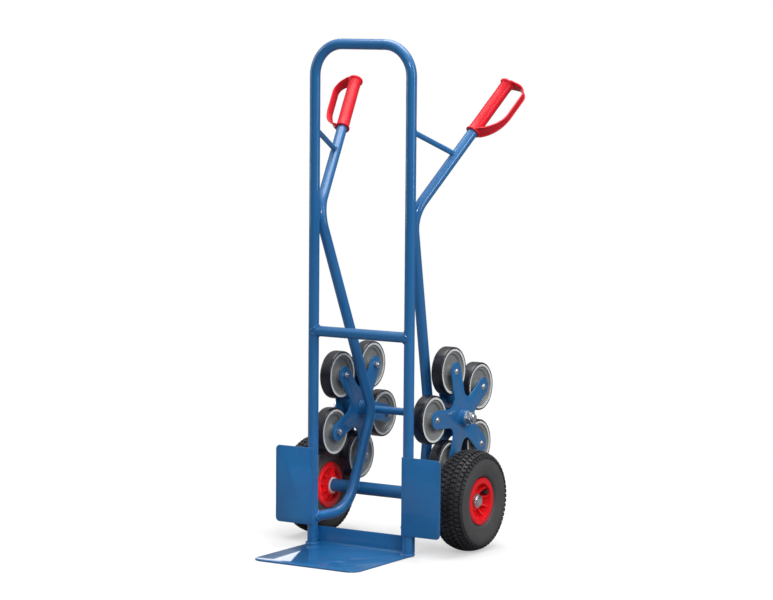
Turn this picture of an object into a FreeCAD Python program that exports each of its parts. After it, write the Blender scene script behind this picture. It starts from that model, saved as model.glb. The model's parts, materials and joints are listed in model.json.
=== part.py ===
import FreeCAD, Part
import math
import os
import Sketcher
from FreeCAD import Placement, Rotation, Vector

# Stair-climbing sack truck, in millimetres. +Z is up and the load plate points along -Y.
# The origin is on the floor, under the line of the two uprights, on the middle plane.

SIZES = (
    # main frame
    ("overall_height", 1300),
    ("upright_spacing", 287),
    ("tube_diameter", 27),
    ("tube_wall", 2),
    ("bend_radius", 80),
    ("weld_gap", 0.2),
    ("cross_tube_height", 555),
    # load plate
    ("plate_width", 310),
    ("plate_depth", 264),
    ("plate_thickness", 4),
    ("plate_corner", 30),
    ("flange_height", 49),
    ("fold_radius", 8),
    # deflector plates in front of the wheels
    ("deflector_width", 114),
    ("deflector_height", 200),
    ("deflector_foot", 54.5),
    ("deflector_inset", 3.5),
    ("deflector_thickness", 3),
    ("deflector_corner", 12),
    # side tubes: spacings are between the corners of the two tubes' centre lines
    ("touch_height", 862),
    ("touch_spacing", 280),
    ("knee_height", 333),
    ("knee_depth", 192),
    ("knee_spacing", 175),
    ("foot_height", 74),
    ("foot_depth", 114.5),
    ("foot_spacing", 225.5),
    ("handle_height", 1184),
    ("handle_depth", 324.5),
    ("handle_spacing", 462.7),
    # braces between uprights and handles
    ("brace_diameter", 14),
    ("brace_wall", 1.5),
    ("brace_height", 1073),
    ("brace_seat", 208),
    # grips
    ("grip_length", 180),
    ("grip_diameter", 33),
    ("grip_end_wall", 6),
    ("grip_lip_diameter", 41),
    ("grip_lip_width", 5),
    ("grip_fit", 0.15),
    ("guard_reach", 61.5),
    ("guard_corner", 29),
    ("guard_bow_radius", 90),
    ("guard_bow_start", 89),
    ("guard_band", 22),
    ("guard_thickness", 4.5),
    ("guard_lean", 12),
    # main wheels and their axle
    ("tyre_diameter", 260),
    ("tyre_width", 85),
    ("tyre_wall", 8),
    ("shoulder_width", 6.5),
    ("shoulder_drop", 9),
    ("wheel_spacing", 460),
    ("rim_diameter", 120),
    ("rim_width", 67),
    ("rim_lip", 10),
    ("rim_wall", 4),
    ("rib_thickness", 4),
    ("rib_step", 2.5),
    ("hub_diameter", 50),
    ("hub_inboard", 41),
    ("hub_outboard", 17),
    ("bearing_diameter", 35),
    ("bearing_length", 18),
    ("tube_skin", 2.5),
    ("valve_diameter", 10),
    ("valve_reach", 24),
    ("valve_gap", 2),
    ("axle_diameter", 20),
    ("axle_tube_diameter", 34),
    ("axle_tube_wall", 4),
    ("sleeve_length", 30),
    ("sleeve_flange", 41),
    ("washer_diameter", 37),
    ("washer_thickness", 2.5),
    ("cap_diameter", 36),
    ("cap_length", 8),
    ("cap_wall", 2),
    # star wheels
    ("star_spacing", 306),
    ("star_pitch", 126),
    ("star_arm_width", 48),
    ("star_arm_fillet", 24),
    ("star_plate_thickness", 4),
    ("star_plate_gap", 39.5),
    ("star_hub_diameter", 40),
    ("star_hub_bore", 30),
    ("star_hub_inboard", 32),
    ("star_hub_outboard", 38),
    ("bush_length", 16),
    ("collar_diameter", 30),
    ("collar_width", 6),
    ("star_nut_flats", 30),
    ("star_nut_height", 13),
    ("thread_end", 6),
    ("thread_chamfer", 1.5),
    ("small_wheel_diameter", 125),
    ("small_wheel_width", 32),
    ("small_tread", 4.6),
    ("small_rim_width", 30),
    ("small_rim_ring", 8),
    ("small_rim_web", 8),
    ("small_hub_diameter", 30),
    ("small_hub_length", 38),
    ("bolt_diameter", 10),
    ("bolt_head_diameter", 18),
    ("bolt_head_height", 4),
    ("bolt_nut_flats", 16),
    ("bolt_nut_height", 8),
    ("bolt_end", 3),
    ("bolt_chamfer", 1),
    ("spacer_diameter", 16),
    # clearances
    ("running_fit", 0.05),
    ("side_clearance", 0.3),
    ("hole_clearance", 0.2),
)

FUNCTIONS = ("abs", "cos", "sin", "sqrt", "deg")
# counts, how far round the stars and valves stand, and the tyre's radii as shares of its width
ARMS = 5
RIBS = 10
RIGHT_STAR_TURN = 33.05
LEFT_STAR_TURN = 48.87
VALVE_TURN = 28.0
SIDEWALL_BOW = 0.61
CROWN_BOW = 0.9
MIRROR = {"left": -1, "right": 1}

doc = FreeCAD.newDocument("sack_truck")
sheet = doc.addObject("Spreadsheet::Sheet", "Sizes")
for row, (alias, value) in enumerate(SIZES, start=1):
    sheet.set(f"A{row}", alias)
    sheet.set(f"B{row}", str(value))
    sheet.setAlias(f"B{row}", alias)
doc.recompute()

subparts = []


def size(expression):
    """Value of an expression of the sheet's aliases, in millimetres."""
    value = sheet.evalExpression(expression)
    return float(getattr(value, "Value", value))


def bound(expression):
    """The same expression as another object has to write it, with Sizes in front of each alias."""
    words = []
    word = ""
    for letter in expression + " ":
        if letter.isalnum() or letter in "_.":
            word += letter
            continue
        words.append(f"Sizes.{word}" if word[:1].isalpha() and word not in FUNCTIONS else word)
        words.append(letter)
        word = ""
    return "".join(words).strip()


def keep(item, label, placement=None):
    """Names a finished sub-part and sets where it goes."""
    item.Label = label
    if placement:
        item.Placement = placement
    subparts.append(item)
    return item


# ---- sketches -------------------------------------------------------------------------------

def new_body(name):
    body = doc.addObject("PartDesign::Body", name)
    body.AllowCompound = True
    return body


def sketch_on(body, role, name, lift="0"):
    """A sketch on one of the body's own origin planes, lifted along the plane's normal."""
    sketch = body.newObject("Sketcher::SketchObject", name)
    plane = next(item for item in body.Origin.OriginFeatures if item.Role == role)
    sketch.AttachmentSupport = [(plane, "")]
    sketch.MapMode = "FlatFace"
    if lift != "0":
        sketch.AttachmentOffset = Placement(Vector(0, 0, size(lift)), Rotation())
        sketch.setExpression("AttachmentOffset.Base.z", bound(lift))
    return sketch


def bind(sketch, constraint, expression):
    index = sketch.addConstraint(constraint)
    sketch.setExpression(f"Constraints[{index}]", bound(expression))


def place_point(sketch, element, end, across, up):
    """Dimensions one point of a sketch from the sketch's origin."""
    for kind, expression in (("DistanceX", across), ("DistanceY", up)):
        bind(sketch, Sketcher.Constraint(kind, -1, 1, element, end, size(expression)), expression)


def outline(sketch, corners, closed=True):
    """Lines and arcs through corners (across, up) or (across, up, radius).

    A radius makes the side that starts at that corner an arc, positive where it bulges to the right.
    """
    here = [Vector(size(corner[0]), size(corner[1]), 0) for corner in corners]
    sides = len(corners) if closed else len(corners) - 1
    ends = []
    for number in range(sides):
        start = here[number]
        finish = here[(number + 1) % len(corners)]
        radius_text = corners[number][2] if len(corners[number]) > 2 else None
        if radius_text is None:
            element = sketch.addGeometry(Part.LineSegment(start, finish))
        else:
            radius = size(radius_text)
            half = (finish - start).Length / 2
            rise = abs(radius) - math.sqrt(max(radius * radius - half * half, 0))
            across = (finish - start).normalize().cross(Vector(0, 0, 1))
            middle = (start + finish) / 2 + across * math.copysign(rise, radius)
            element = sketch.addGeometry(Part.Arc(start, middle, finish))
            bind(sketch, Sketcher.Constraint("Radius", element, abs(radius)), f"abs({radius_text})")
        first_is_start = (sketch.getPoint(element, 1) - start).Length < 1e-6
        ends.append((element, (1, 2) if first_is_start else (2, 1)))
    for number, (element, (start_end, finish_end)) in enumerate(ends):
        place_point(sketch, element, start_end, *corners[number][:2])
        if closed or number < sides - 1:
            following, (next_start, _) = ends[(number + 1) % len(ends)]
            joint = Sketcher.Constraint("Coincident", element, finish_end, following, next_start)
            sketch.addConstraint(joint)
        else:
            place_point(sketch, element, finish_end, *corners[-1][:2])


def circle(sketch, across, up, radius):
    centre = Vector(size(across), size(up), 0)
    element = sketch.addGeometry(Part.Circle(centre, Vector(0, 0, 1), size(radius)))
    if across == "0" and up == "0":
        sketch.addConstraint(Sketcher.Constraint("Coincident", element, 3, -1, 1))
    else:
        place_point(sketch, element, 3, across, up)
    bind(sketch, Sketcher.Constraint("Radius", element, size(radius)), radius)


# ---- PartDesign features --------------------------------------------------------------------

def pad(body, sketch, length, middle=False):
    feature = body.newObject("PartDesign::Pad", "Pad")
    feature.Profile = sketch
    feature.Length = size(length)
    feature.setExpression("Length", bound(length))
    feature.SideType = "Symmetric" if middle else "One side"
    doc.recompute()
    return feature


def cut_through(body, sketch):
    """A pocket both ways through the whole body. It has to take something away."""
    before = body.Shape.Volume
    feature = body.newObject("PartDesign::Pocket", "Pocket")
    feature.Profile = sketch
    feature.Type = "ThroughAll"
    feature.SideType = "Symmetric"
    doc.recompute()
    assert body.Shape.Volume < before, f"a pocket of {body.Name} cuts nothing"
    return feature


def turned(body, sections, axis="0", kind="Revolution"):
    """Turns sections, each (along the axis, out from it), about X or a line beside it in XY."""
    sketch = sketch_on(body, "XY_Plane", "section")
    for corners in sections:
        outline(sketch, [(corner[0], f"{axis} + {corner[1]}") + tuple(corner[2:]) for corner in corners])
    feature = body.newObject(f"PartDesign::{kind}", kind)
    feature.Profile = sketch
    if axis == "0":
        feature.ReferenceAxis = (sketch, ["H_Axis"])
    else:
        line = Part.LineSegment(Vector(0, size(axis), 0), Vector(1, size(axis), 0))
        centre = sketch.addGeometry(line, True)
        place_point(sketch, centre, 1, "0", axis)
        place_point(sketch, centre, 2, "1", axis)
        feature.ReferenceAxis = (sketch, ["Axis0"])
    feature.Angle = 360
    doc.recompute()
    return feature


def turned_away(body, sections):
    """A groove about the body's X axis. It has to take something away."""
    before = body.Shape.Volume
    feature = turned(body, sections, kind="Groove")
    assert body.Shape.Volume < before, f"a groove of {body.Name} cuts nothing"
    return feature


def round_edges(body, feature, radius, wanted):
    """Fillets the straight edges of a feature for which wanted(edge) is true."""
    names = []
    for number, edge in enumerate(feature.Shape.Edges, start=1):
        if edge.Curve.TypeId == "Part::GeomLine" and wanted(edge):
            names.append(f"Edge{number}")
    assert names, f"no edges to round on {body.Name}"
    fillet = body.newObject("PartDesign::Fillet", "Fillet")
    fillet.Base = (feature, names)
    fillet.Radius = size(radius)
    fillet.setExpression("Radius", bound(radius))
    doc.recompute()
    return fillet


def origin_item(body, role):
    return next(item for item in body.Origin.OriginFeatures if item.Role == role)


def mirror_across_middle(body, features):
    mirrored = body.newObject("PartDesign::Mirrored", "Mirrored")
    mirrored.Originals = features
    mirrored.MirrorPlane = (origin_item(body, "YZ_Plane"), [""])
    body.Tip = mirrored
    doc.recompute()
    return mirrored


def repeat_round_axis(body, features, count):
    pattern = body.newObject("PartDesign::PolarPattern", "PolarPattern")
    pattern.Originals = features
    pattern.Axis = (origin_item(body, "X_Axis"), [""])
    pattern.Angle = 360
    pattern.Occurrences = count
    body.Tip = pattern
    doc.recompute()
    return pattern


def ring_section(start, finish, inner, outer):
    return ((start, inner), (finish, inner), (finish, outer), (start, outer))


# ---- places worked out from the driving dimensions --------------------------------------------

tube_radius = size("tube_diameter / 2")
weld_gap = size("weld_gap")
upright_x = size("upright_spacing / 2")
wheel_x = size("wheel_spacing / 2")
star_x = size("star_spacing / 2")
wheel_radius = size("tyre_diameter / 2")


def rounded_path(points, radius):
    """Straight runs through points, joined by arcs of one radius that touch both runs."""
    edges = []
    here = points[0]
    for before, corner, after in zip(points, points[1:], points[2:]):
        back = (before - corner).normalize()
        ahead = (after - corner).normalize()
        half_angle = back.getAngle(ahead) / 2
        reach = radius / math.tan(half_angle)
        bisector = (back + ahead).normalize()
        centre = corner + bisector * (radius / math.sin(half_angle))
        start = corner + back * reach
        finish = corner + ahead * reach
        edges.append(Part.LineSegment(here, start).toShape())
        edges.append(Part.Arc(start, centre - bisector * radius, finish).toShape())
        here = finish
    edges.append(Part.LineSegment(here, points[-1]).toShape())
    return Part.Wire(edges)


def side_path(side, touch_depth):
    """Centre line of a side tube, from the upright's foot round the knee to the handle's end."""
    mirror = MIRROR[side]
    points = [
        Vector(mirror * upright_x, 0, size("foot_height")),
        Vector(mirror * size("foot_spacing / 2"), size("foot_depth"), size("foot_height")),
        Vector(mirror * size("knee_spacing / 2"), size("knee_depth"), size("knee_height")),
        Vector(mirror * size("touch_spacing / 2"), touch_depth, size("touch_height")),
        Vector(mirror * size("handle_spacing / 2"), size("handle_depth"), size("handle_height")),
    ]
    return points, rounded_path(points, size("bend_radius"))


def touch_depth_behind_upright():
    """Depth of the upper corner that brings its bend up against the back of the upright."""
    reach = 2 * tube_radius + weld_gap
    depth = tube_radius
    for _ in range(6):
        _, wire = side_path("right", depth)
        shortfall = -1e9
        for point in wire.discretize(Distance=0.5):
            aside = point.x - upright_x
            if point.z > size("knee_height") and abs(aside) < reach:
                shortfall = max(shortfall, math.sqrt(reach ** 2 - aside ** 2) - point.y)
        depth += shortfall
    return depth


def depth_behind(wire, height, radius):
    """Depth at which a round bar lying across the truck rests on the back of the side tubes."""
    reach = tube_radius + weld_gap + radius
    depths = []
    for point in wire.discretize(Distance=0.5):
        if abs(point.z - height) < reach:
            depths.append(point.y + math.sqrt(reach ** 2 - (point.z - height) ** 2))
    return max(depths)


touch_depth = touch_depth_behind_upright()
side_points, right_wire = side_path("right", touch_depth)
axle_y = depth_behind(right_wire, wheel_radius, size("axle_tube_diameter / 2"))
star_y = depth_behind(right_wire, size("knee_height"), size("axle_diameter / 2"))
star_z = size("knee_height")
handle_line = (side_points[4] - side_points[3]).normalize()

print(f"axle at y {axle_y:.3f} z {wheel_radius:.3f}")
print(f"star axle at y {star_y:.3f} z {star_z:.3f}")
print("handle direction", [round(value, 5) for value in handle_line])


# ---- main frame: one tube bent to an upside-down U --------------------------------------------

body = new_body("MainFrame")
path = sketch_on(body, "XZ_Plane", "centre_line")
half = "upright_spacing / 2"
top = "overall_height - tube_diameter / 2"
outline(path, (
    (f"-({half})", "plate_thickness"),
    (f"-({half})", f"{top} - bend_radius", "-bend_radius"),
    (f"-({half} - bend_radius)", top),
    (f"{half} - bend_radius", top, "-bend_radius"),
    (half, f"{top} - bend_radius"),
    (half, "plate_thickness"),
), closed=False)
profile = sketch_on(body, "XY_Plane", "tube_section", "plate_thickness")
circle(profile, f"-({half})", "0", "tube_diameter / 2")
circle(profile, f"-({half})", "0", "tube_diameter / 2 - tube_wall")
pipe = body.newObject("PartDesign::AdditivePipe", "Pipe")
pipe.Profile = profile
pipe.Spine = (path, [f"Edge{number}" for number in range(1, 6)])
doc.recompute()
# the feet are notched at the back, over the fold of the load plate
notch = sketch_on(body, "YZ_Plane", "foot_notch")
fold_start = "tube_diameter / 2 + weld_gap - fold_radius - side_clearance"
fold_top = "plate_thickness + fold_radius + side_clearance"
outline(notch, (
    (fold_start, "plate_thickness - 1"),
    ("tube_diameter", "plate_thickness - 1"),
    ("tube_diameter", fold_top),
    (fold_start, fold_top),
))
cut_through(body, notch)
keep(body, "main_frame_tube")


# ---- cross tube, coped to the uprights --------------------------------------------------------

body = new_body("CrossTube")
section = sketch_on(body, "YZ_Plane", "tube_section")
circle(section, "0", "0", "tube_diameter / 2")
circle(section, "0", "0", "tube_diameter / 2 - tube_wall")
pad(body, section, "upright_spacing", middle=True)
cope = sketch_on(body, "XY_Plane", "upright_holes")
for sign in ("", "-"):
    circle(cope, f"{sign}({half})", "0", "tube_diameter / 2 + weld_gap")
cut_through(body, cope)
keep(body, "cross_tube", Placement(Vector(0, 0, size("cross_tube_height")), Rotation()))


# ---- load plate: folded sheet with an upright flange behind the tubes -------------------------

body = new_body("LoadPlate")
section = sketch_on(body, "YZ_Plane", "folded_section")
flange_back = "(tube_diameter / 2 + weld_gap + plate_thickness)"
outer_fold = "(fold_radius + plate_thickness)"
outline(section, (
    ("-plate_depth", "0"),
    (f"{flange_back} - {outer_fold}", "0", outer_fold),
    (flange_back, outer_fold),
    (flange_back, "flange_height"),
    (f"{flange_back} - plate_thickness", "flange_height"),
    (f"{flange_back} - plate_thickness", outer_fold, "-fold_radius"),
    (f"{flange_back} - {outer_fold}", "plate_thickness"),
    ("-plate_depth", "plate_thickness"),
))
feature = pad(body, section, "plate_width", middle=True)
front = -size("plate_depth")
round_edges(
    body, feature, "plate_corner",
    lambda edge: abs(edge.CenterOfMass.y - front) < 0.01 and abs(edge.tangentAt(0).z) > 0.9,
)
keep(body, "load_plate")


# ---- deflector plates on the front of the uprights --------------------------------------------

for side, sign in (("left", "-"), ("right", "")):
    body = new_body(f"{side.title()}Deflector")
    section = sketch_on(body, "XZ_Plane", "outline", "tube_diameter / 2 + weld_gap")
    inner = f"({half} - tube_diameter / 2 + deflector_inset)"
    outer = f"({inner} + deflector_width)"
    crown = "deflector_foot + deflector_height"
    outline(section, (
        (f"{sign}{inner}", "deflector_foot"),
        (f"{sign}{outer}", "deflector_foot"),
        (f"{sign}{outer}", crown),
        (f"{sign}{inner}", crown),
    ))
    feature = pad(body, section, "deflector_thickness")
    outer_x = MIRROR[side] * size(outer)
    round_edges(
        body, feature, "deflector_corner",
        lambda edge: abs(edge.CenterOfMass.x - outer_x) < 0.01 and abs(edge.tangentAt(0).y) > 0.9,
    )
    keep(body, f"{side}_deflector_plate")


# ---- side tubes: bent in three dimensions, from the foot to the grip --------------------------
# A sketch can't hold this path, so these are plain features made with Part's own functions.

def bent_tube(wire, outer, inner):
    """A tube of round section along a wire."""
    start = wire.Edges[0].valueAt(wire.Edges[0].FirstParameter)
    along = wire.Edges[0].tangentAt(wire.Edges[0].FirstParameter)
    solids = []
    for radius in (outer, inner):
        ring = Part.Wire(Part.Circle(start, along, radius).toShape())
        solids.append(wire.makePipeShell([ring], True, False))
    return solids[0].cut(solids[1])


for side in MIRROR:
    _, wire = side_path(side, touch_depth)
    solid = bent_tube(wire, tube_radius, tube_radius - size("tube_wall"))
    foot = Vector(MIRROR[side] * upright_x, 0, size("foot_height") - 2 * tube_radius)
    solid = solid.cut(Part.makeCylinder(tube_radius + weld_gap, 4 * tube_radius, foot))
    item = doc.addObject("Part::Feature", f"{side.title()}SideTube")
    item.Shape = solid
    keep(item, f"{side}_side_tube")


# ---- braces, coped to the upright and to the handle -------------------------------------------

def rod(name, start, finish, radius):
    """A Part cylinder from start to finish, with its radius bound to the sheet."""
    item = doc.addObject("Part::Cylinder", name)
    item.setExpression("Radius", bound(radius))
    item.Height = (finish - start).Length
    item.Placement = Placement(start, Rotation(Vector(0, 0, 1), finish - start))
    return item


def cut(name, base, tool):
    item = doc.addObject("Part::Cut", name)
    item.Base = base
    item.Tool = tool
    return item


for side in MIRROR:
    points, _ = side_path(side, touch_depth)
    low_end = points[3] + (points[4] - points[3]).normalize() * size("brace_seat")
    high_end = Vector(MIRROR[side] * upright_x, 0, size("brace_height"))
    name = f"{side.title()}Brace"
    outside = rod(f"{name}Outside", high_end, low_end, "brace_diameter / 2")
    inside = rod(f"{name}Inside", high_end, low_end, "brace_diameter / 2 - brace_wall")
    reach = Vector(0, 0, size("brace_diameter * 3"))
    upright = rod(f"{name}UprightCope", high_end - reach, high_end + reach, "tube_diameter / 2 + weld_gap")
    reach = (points[4] - points[3]).normalize() * size("brace_diameter * 3")
    handle = rod(f"{name}HandleCope", low_end - reach, low_end + reach, "tube_diameter / 2 + weld_gap")
    tube = cut(f"{name}Tube", outside, inside)
    coped = cut(f"{name}Coped", tube, upright)
    keep(cut(name, coped, handle), f"{side}_handle_brace")


# ---- grips: a sleeve with lips and a guard loop for the knuckles --------------------------------
# In the grip's own frame Z runs along the handle and X points to the guard.

def guard_frame(side):
    """Where a grip sits on its handle, with the guard outward and leaning a little down."""
    points, _ = side_path(side, touch_depth)
    along = (points[4] - points[3]).normalize()
    outward = Vector(MIRROR[side], 0, 0)
    outward = (outward - along * outward.dot(along)).normalize()
    rearward = Vector(0, 1, -1)
    rearward = (rearward - along * rearward.dot(along)).normalize()
    lean = math.radians(size("guard_lean"))
    to_guard = outward * math.cos(lean) + rearward * math.sin(lean)
    to_guard = (to_guard - along * to_guard.dot(along)).normalize()
    start = points[4] + along * (size("grip_end_wall + side_clearance - grip_length"))
    return Placement(start, Rotation(to_guard, along.cross(to_guard), along, "ZXY"))


def turned_upright(body, sketch, kind):
    """Turns or grooves a sketch about its own upright axis."""
    feature = body.newObject(f"PartDesign::{kind}", kind)
    feature.Profile = sketch
    feature.ReferenceAxis = (sketch, ["V_Axis"])
    feature.Angle = 360
    doc.recompute()


for side in MIRROR:
    body = new_body(f"{side.title()}Grip")
    bore = "(tube_diameter / 2 + grip_fit)"
    lip = "grip_lip_diameter / 2"
    sleeve = "grip_diameter / 2"
    section = sketch_on(body, "XZ_Plane", "sleeve_section")
    outline(section, (
        ("0", "0"),
        (lip, "0"),
        (lip, "grip_lip_width"),
        (sleeve, "grip_lip_width"),
        (sleeve, "grip_length - grip_lip_width"),
        (lip, "grip_length - grip_lip_width"),
        (lip, "grip_length"),
        ("0", "grip_length"),
    ))
    turned_upright(body, section, "Revolution")
    loop = sketch_on(body, "XZ_Plane", "guard_line")
    root = "grip_diameter / 4"
    high = "grip_length - guard_thickness / 2"
    inward = f"(guard_reach - guard_bow_radius - {root})"
    low = f"guard_bow_start - sqrt(guard_bow_radius * guard_bow_radius - {inward} * {inward})"
    outline(loop, (
        (root, high),
        ("guard_reach - guard_corner", high, "-guard_corner"),
        ("guard_reach", f"{high} - guard_corner"),
        ("guard_reach", "guard_bow_start", "-guard_bow_radius"),
        (root, low),
    ), closed=False)
    band = sketch_on(body, "YZ_Plane", "guard_section", root)
    outline(band, (
        ("-guard_band / 2", f"{high} - guard_thickness / 2"),
        ("guard_band / 2", f"{high} - guard_thickness / 2"),
        ("guard_band / 2", f"{high} + guard_thickness / 2"),
        ("-guard_band / 2", f"{high} + guard_thickness / 2"),
    ))
    guard = body.newObject("PartDesign::AdditivePipe", "Guard")
    guard.Profile = band
    guard.Spine = (loop, [f"Edge{number}" for number in range(1, 5)])
    doc.recompute()
    before = body.Shape.Volume
    hollow = sketch_on(body, "XZ_Plane", "bore_section")
    outline(hollow, (
        ("0", "0"),
        (bore, "0"),
        (bore, "grip_length - grip_end_wall"),
        ("0", "grip_length - grip_end_wall"),
    ))
    turned_upright(body, hollow, "Groove")
    assert body.Shape.Volume < before, "the grip's bore cuts nothing"
    keep(body, f"{side}_grip", guard_frame(side))


# ---- wheel axle -----------------------------------------------------------------------------------

axle_place = Placement(Vector(0, axle_y, wheel_radius), Rotation())
inboard_end = "(wheel_spacing / 2 - hub_inboard - side_clearance)"
outboard_end = "(wheel_spacing / 2 + hub_outboard + side_clearance)"
axle_tube_end = f"({inboard_end} - washer_thickness - side_clearance)"

body = new_body("AxleTube")
section = sketch_on(body, "YZ_Plane", "tube_section")
circle(section, "0", "0", "axle_tube_diameter / 2")
circle(section, "0", "0", "axle_tube_diameter / 2 - axle_tube_wall")
pad(body, section, f"2 * {axle_tube_end}", middle=True)
keep(body, "axle_tube", axle_place)

body = new_body("AxleSleeves")
sleeve_bore = "axle_diameter / 2 + running_fit"
sleeve_side = "axle_tube_diameter / 2 - axle_tube_wall - running_fit"
flange_start = f"{axle_tube_end} + hole_clearance"
sleeve = turned(body, [(
    (f"{axle_tube_end} - sleeve_length", sleeve_bore),
    (inboard_end, sleeve_bore),
    (inboard_end, "sleeve_flange / 2"),
    (flange_start, "sleeve_flange / 2"),
    (flange_start, sleeve_side),
    (f"{axle_tube_end} - sleeve_length", sleeve_side),
)])
mirror_across_middle(body, [sleeve])
keep(body, "axle_sleeves", axle_place)

cap_start = f"({outboard_end} + washer_thickness + side_clearance)"
cap_mouth = f"({cap_start} + cap_length - cap_wall)"
body = new_body("WheelAxle")
section = sketch_on(body, "YZ_Plane", "rod_section")
circle(section, "0", "0", "axle_diameter / 2")
pad(body, section, f"2 * ({cap_mouth} - side_clearance)", middle=True)
keep(body, "wheel_axle", axle_place)

body = new_body("AxleCaps")
cap = turned(body, [(
    (cap_start, "axle_diameter / 2 + running_fit"),
    (cap_mouth, "axle_diameter / 2 + running_fit"),
    (cap_mouth, "0"),
    (f"{cap_start} + cap_length", "0"),
    (f"{cap_start} + cap_length", "cap_diameter / 2 - cap_length / 2", "-cap_length / 2"),
    (f"{cap_start} + cap_length / 2", "cap_diameter / 2"),
    (cap_start, "cap_diameter / 2"),
)])
mirror_across_middle(body, [cap])
keep(body, "axle_caps", axle_place)


# ---- main wheels ------------------------------------------------------------------------------------
# In a wheel's own frame X is the axle and points away from the truck.

def outward_frame(side, across, depth, height, turn=0.0):
    """A frame on an axle line, X outward, turned about it by turn degrees."""
    facing = Rotation(Vector(0, 0, 1), 0 if side == "right" else 180)
    spin = Rotation(Vector(1, 0, 0), turn)
    return Placement(Vector(MIRROR[side] * across, depth, height), facing * spin)


def tyre_section(inset, foot):
    """Section of the tyre's outside, or of a line inset millimetres inside it, down to radius foot."""
    bead = f"(rim_width / 2 - rim_wall - side_clearance - {inset})"
    neck = f"(rim_diameter / 2 + side_clearance + {inset} / 4)"
    shoulder = f"(tyre_width / 2 - shoulder_width - {inset})"
    shoulder_out = f"(tyre_diameter / 2 - shoulder_drop - {inset})"
    sidewall = f"(tyre_width * {SIDEWALL_BOW} - {inset} * {CROWN_BOW})"
    crown = f"(tyre_width * {CROWN_BOW} - {inset})"
    return (
        (bead, foot),
        (bead, neck, sidewall),
        (shoulder, shoulder_out, crown),
        (f"-{shoulder}", shoulder_out, sidewall),
        (f"-{bead}", neck),
        (f"-{bead}", foot),
    )


def build_tyre(side, place):
    body = new_body(f"{side.title()}Tyre")
    turned(body, [tyre_section("0", f"({barrel} + side_clearance)")])
    turned_away(body, [tyre_section("tyre_wall", f"({barrel} - 1)")])
    keep(body, f"{side}_tyre", place)


def build_inner_tube(side, place):
    """A hollow tube that fills the tyre, with a valve that comes in through the rim and turns."""
    body = new_body(f"{side.title()}InnerTube")
    skin = "(tyre_wall + side_clearance)"
    turned(body, [tyre_section(skin, f"({barrel} + side_clearance)")])
    inside = f"({skin} + tube_skin)"
    turned_away(body, [tyre_section(inside, f"({barrel} + side_clearance + tube_skin)")])
    stem = sketch_on(body, "XZ_Plane", "stem_section", f"-({barrel} + side_clearance + tube_skin / 2)")
    circle(stem, "valve_diameter / 2", "0", "valve_diameter / 2")
    pad(body, stem, f"{barrel} + side_clearance + tube_skin / 2 - ({valve_ring} - valve_diameter / 2)")
    spout = sketch_on(body, "YZ_Plane", "spout_section", "valve_diameter / 2")
    circle(spout, valve_ring, "0", "valve_diameter / 2")
    pad(body, spout, "valve_reach")
    keep(body, f"{side}_inner_tube", place)


def build_rim(side, place):
    body = new_body(f"{side.title()}Rim")
    bore = "(bearing_diameter / 2 + running_fit)"
    hub = "hub_diameter / 2"
    face = "rim_width / 2"
    lip = "rim_diameter / 2"
    inside = f"({barrel} - rim_wall)"
    turned(body, [(
        ("-hub_inboard", bore),
        ("hub_outboard", bore),
        ("hub_outboard", hub),
        ("-rim_wall", hub),
        ("-rim_wall", inside),
        (face, inside),
        (face, lip),
        (f"{face} - rim_wall", lip),
        (f"{face} - rim_wall", barrel),
        (f"-({face} - rim_wall)", barrel),
        (f"-({face} - rim_wall)", lip),
        (f"-{face}", lip),
        (f"-{face}", inside),
        ("-rim_wall * 2", inside),
        ("-rim_wall * 2", hub),
        ("-hub_inboard", hub),
    )])
    web = sketch_on(body, "XZ_Plane", "rib_outline")
    outline(web, (
        ("-hub_inboard + rib_step", f"{hub} - 1"),
        ("hub_outboard - rib_step", f"{hub} - 1"),
        (f"{face} - rim_wall", f"{inside} + 1"),
        (f"-({face} - rim_wall)", f"{inside} + 1"),
    ))
    rib = pad(body, web, "rib_thickness", middle=True)
    repeat_round_axis(body, [rib], RIBS)
    before = body.Shape.Volume
    hole = sketch_on(body, "XZ_Plane", "valve_hole", f"-({inside} - 2)")
    circle(hole, "valve_diameter / 2", "0", "valve_diameter / 2 + side_clearance")
    pocket = body.newObject("PartDesign::Pocket", "Pocket")
    pocket.Profile = hole
    pocket.Length = size("rim_wall + 4")
    pocket.setExpression("Length", bound("rim_wall + 4"))
    doc.recompute()
    assert body.Shape.Volume < before, "the valve hole cuts nothing"
    keep(body, f"{side}_rim", place)


def build_bearings(side, place):
    body = new_body(f"{side.title()}Bearings")
    inner = "axle_diameter / 2 + running_fit"
    outer = "bearing_diameter / 2"
    turned(body, [
        ring_section("-hub_inboard", "-hub_inboard + bearing_length", inner, outer),
        ring_section("hub_outboard - bearing_length", "hub_outboard", inner, outer),
    ])
    keep(body, f"{side}_wheel_bearings", place)


barrel = "(rim_diameter / 2 - rim_lip)"
valve_ring = f"({barrel} - rim_wall - valve_diameter / 2 - valve_gap)"
for side in MIRROR:
    place = outward_frame(side, wheel_x, axle_y, wheel_radius, VALVE_TURN)
    build_tyre(side, place)
    build_inner_tube(side, place)
    build_rim(side, place)
    build_bearings(side, place)


# ---- star axle: a rod across the back of the knees, with a collar inboard of each star ------------

star_place = Placement(Vector(0, star_y, star_z), Rotation())
hub_in = "(star_spacing / 2 - star_hub_inboard)"
hub_out = "(star_spacing / 2 + star_hub_outboard)"
collar_out = f"({hub_in} - washer_thickness - 2 * side_clearance)"
collar_in = f"({collar_out} - collar_width)"
nut_in = f"({hub_out} + washer_thickness + 2 * side_clearance)"
nut_out = f"({nut_in} + star_nut_height)"
rod_end = f"({nut_out} + thread_end)"
rod_radius = "axle_diameter / 2"

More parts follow.
